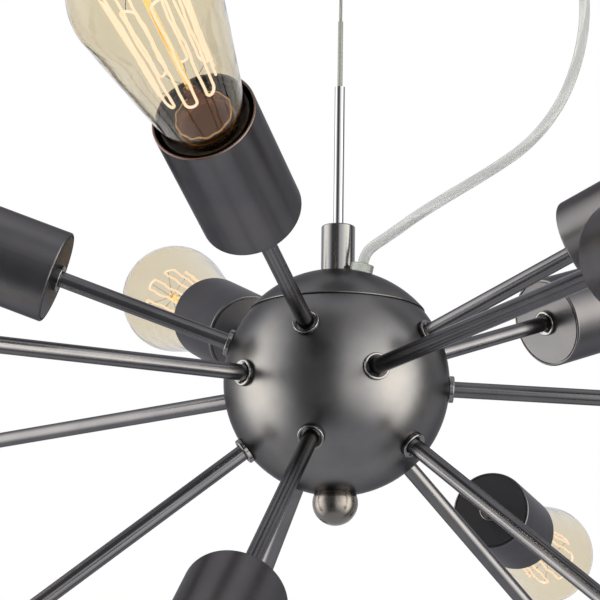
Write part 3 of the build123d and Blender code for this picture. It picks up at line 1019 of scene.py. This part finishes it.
guide = route_curve("flex_guide", 0)
flex_line = line_of(guide)
bpy.data.objects.remove(guide)
flex = route_curve("flex_sheath", 1)
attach(flex, "fixture")
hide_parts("flex")

# %% [markdown]
# ## Conductors and clear plastic
#
# Three silvery conductors twist slowly inside the sheath. They are painted in three greys,
# dark, middle and light, a painted light and shade, so that the twist shows as lines of light
# and dark. Each is a wire along the flex's line, moved off it by a turning angle. The sheath is
# clear plastic that lets part of what lies behind show through, and its colour is painted
# darker where it is seen edge on, a painted shade on its outline. The bushes are the same
# plastic, thicker.

# %% Conductors
conductor_radius = 1.05 * mm
conductor_offset = 1.25 * mm
conductor_inset = 0.4 * mm
# Painted light and shade: one dark, one middle and one light grey for the three conductors.
conductor_painted_greys = (0.14, 0.36, 0.62)
first_phase = 0.4
twist_length = 75 * mm


def conductor_path(line, phase):
    """Line point at distance s, moved by the offset at angle 2 pi s / twist + phase, in the
    plane square to the line."""
    steps = np.linalg.norm(np.diff(line, axis=0), axis=1)
    distance = np.concatenate([[0], np.cumsum(steps)])
    even = np.linspace(conductor_inset, distance[-1] - conductor_inset, 360)
    path = np.stack([np.interp(even, distance, column) for column in line.T], axis=1)
    tangent = np.gradient(path, axis=0)
    tangent /= np.linalg.norm(tangent, axis=1, keepdims=True)
    side = np.cross(tangent, [0, 1, 0])
    side /= np.linalg.norm(side, axis=1, keepdims=True)
    other = np.cross(tangent, side)
    angle = (2 * pi * even / twist_length + phase)[:, None]
    return path + conductor_offset * (np.cos(angle) * side + np.sin(angle) * other)


def conductor_finish(name, grey):
    """Tinned copper under its own thin insulation: a silver that wanders slowly along it. The
    grey is one of three painted shades of light and dark.
    """
    finish = Finish(name + "_tinned", Metallic=0.5, Roughness=0.45)
    wander = finish.noise(finish.place(), 60.0, 1.0)
    colour = finish.tint(wander, (0.35, (grey,) * 3), (0.65, (1.3 * grey,) * 3))
    finish.set("Base Color", colour)
    return finish


# Each conductor gets its painted grey, so that the twist reads as light and dark lines.
for index, grey in enumerate(conductor_painted_greys):
    path = conductor_path(flex_line, first_phase + index * 2 * pi / 3)
    grid = capped(wire(path, conductor_radius, (0, 1, 0), 10))
    conductor = add_mesh(f"flex_conductor_{index + 1}", *joined([grid]))
    conductor.data.materials.append(conductor_finish(conductor.name, grey).material)
    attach(conductor, "fixture")


# %% Clear plastic
def clear_plastic(name, colour, edge, **values):
    """Clear plastic with a low gloss that wanders a little. Seen nearly edge on, it is painted
    darker, to a share of its colour: partly more plastic in the way, partly a painted shade on
    the outline."""
    finish = Finish(name, IOR=1.45, Specular_IOR_Level=0.2, **values)
    # Painted shade: the colour darkens towards the outline.
    darker = tuple(edge * part for part in colour)
    finish.set("Base Color", finish.tint(finish.facing(0.5), (0.45, colour), (0.95, darker)))
    wander = finish.noise(finish.place(), 400.0)
    finish.set("Roughness", finish.between(wander, 0.22, 0.34))
    return finish


sheath = clear_plastic("flex_clear_pvc", (0.70, 0.71, 0.68), 0.4, Alpha=0.62)
flex.data.materials.append(sheath.material)
bush = clear_plastic("bush_clear_pvc", (0.58, 0.60, 0.54), 0.75, Transmission_Weight=0.7)
dress("flex_bushes", bush)

# %% [markdown]
# ## Floor, studio and light
#
# The fixture hangs in a white studio. One tall soft panel stands to the left of the camera
# and one to the right, and between and behind them it is dark: that is what draws the bands
# on the metal. The world shader paints the panels by direction. Camera rays and rays through
# glass see plain white. The floor is far below, as in a room.

# %% Studio
floor_height = -2.4
floor_half_width = 12.0
left_panel = (-128, -100, -88, -38)
right_panel = (-2, 14, 78, 98)
right_core = (14, 66, 78, 98)
panel_strength = 4.6
dark_strength = 0.22
behind_strength = 0.85
floor_strength = 0.8
sky_strength = 0.85
panel_colour = (1.0, 0.965, 0.91)
dark_colour = (0.92, 0.93, 1.0)
white_colour = (1, 1, 1, 1)


class World(Nodes):
    """The world's shader tree, with the two shapes of brightness that it is made of."""

    def __init__(self):
        self.world = bpy.data.worlds.new("studio")
        self.world.use_nodes = True
        super().__init__(self.world.node_tree)
        self.background = self.tree.nodes["Background"]

    def step(self, value, low, high, start=0.0, end=1.0):
        """Smooth step of a value from start to end as it passes from low to high."""
        limits = {"From_Min": low, "From_Max": high, "To_Min": start, "To_Max": end}
        made = self.node("ShaderNodeMapRange", Value=value, **limits)
        made.interpolation_type = "SMOOTHSTEP"
        return made.outputs["Result"]

    def panel(self, azimuth, angles):
        """Brightness of a panel: a step up between the first two angles, in degrees, times a
        step down between the last two."""
        rise, full, turn_down, fall = (radians(angle) for angle in angles)
        up = self.step(azimuth, rise, full)
        return self.math("MULTIPLY", up, self.step(azimuth, turn_down, fall, 1.0, 0.0))


def studio_world():
    """Brightness by direction: azimuth is counted from the camera's side, the world's -Y,
    with +X at 90 degrees. The right panel is two fifths even and three fifths brighter to
    its far side. The panels fade out above and below, where floor and sky are plain grey."""
    studio = World()
    math, step = studio.math, studio.step
    coordinates = studio.node("ShaderNodeTexCoord")
    direction = studio.node("ShaderNodeSeparateXYZ", Vector=coordinates.outputs["Generated"])
    x, y, height = (direction.outputs[name] for name in "XYZ")
    azimuth = math("ARCTAN2", x, math("MULTIPLY", y, -1.0))
    right_even = math("MULTIPLY", studio.panel(azimuth, right_panel), 0.4)
    right = math("ADD", right_even, math("MULTIPLY", studio.panel(azimuth, right_core), 0.6))
    sides = math("ADD", math("MULTIPLY", studio.panel(azimuth, left_panel), 0.9), right)
    upright = math("MULTIPLY", step(height, 0.15, 1.08, 1.0, 0.0), step(height, -0.94, -0.18))
    panels = math("MULTIPLY", sides, upright)
    behind = step(math("ABSOLUTE", azimuth), radians(98), radians(125), 0.0, behind_strength)
    floor = step(height, -0.72, -0.88, 0.0, floor_strength)
    sky = step(height, 0.8, 0.97, 0.0, sky_strength)
    dark = math("MAXIMUM", math("MAXIMUM", floor, sky), math("MAXIMUM", behind, dark_strength))
    seen_in_metal = math("ADD", math("MULTIPLY", panels, panel_strength), dark)

    ray = studio.node("ShaderNodeLightPath")
    direct = math("MAXIMUM", ray.outputs["Is Camera Ray"], ray.outputs["Is Transmission Ray"])
    glossy = math("MULTIPLY", ray.outputs["Is Glossy Ray"], math("SUBTRACT", 1.0, direct))
    white = math("SUBTRACT", 1.0, glossy)
    strength = math("ADD", white, math("MULTIPLY", glossy, seen_in_metal))
    panel_tint = studio.tint(panels, (0, dark_colour), (1, panel_colour))
    colour = studio.blend(glossy, white_colour, panel_tint)
    studio.feed(studio.background.inputs["Strength"], strength)
    studio.feed(studio.background.inputs["Color"], colour)
    bpy.context.scene.world = studio.world


def floor_finish():
    """White paint that also gives a third as much light of its own, so that the floor meets
    the white world without an edge and still takes a soft shadow."""
    finish = Finish("floor_white", Base_Color=(0.9, 0.9, 0.9, 1), Roughness=0.9)
    finish.set("Emission Color", white_colour)
    finish.set("Emission Strength", 0.35)
    return finish


def studio_floor():
    """A wide square. Metal doesn't mirror it, because the world already paints it there."""
    corners = np.array([[-1, -1, 0], [1, -1, 0], [1, 1, 0], [-1, 1, 0]]) * floor_half_width
    floor = add_mesh("floor", corners + [0, 0, floor_height], np.array([[0, 1, 2, 3]]))
    floor.data.materials.append(floor_finish().material)
    floor.visible_glossy = False


def soft_panel(name, place, size, power):
    """An area light that faces the ball. It isn't seen in the metal, where the world's own
    panels already stand."""
    data = bpy.data.lights.new(name, "AREA")
    data.shape = "RECTANGLE"
    data.size, data.size_y = size
    data.energy = power
    light = bpy.data.objects.new(name, data)
    light.location = place
    back = Vector(place) - Vector(ball_centre)
    light.rotation_euler = back.to_track_quat("Z", "Y").to_euler()
    light.visible_glossy = False
    bpy.context.scene.collection.objects.link(light)


key_place = (-1.6, -1.8, 0.9)
key_size = (1.2, 1.2)
key_power = 22
studio_world()
studio_floor()
soft_panel("key_panel", key_place, key_size, key_power)
bpy.context.scene.view_settings.view_transform = "Standard"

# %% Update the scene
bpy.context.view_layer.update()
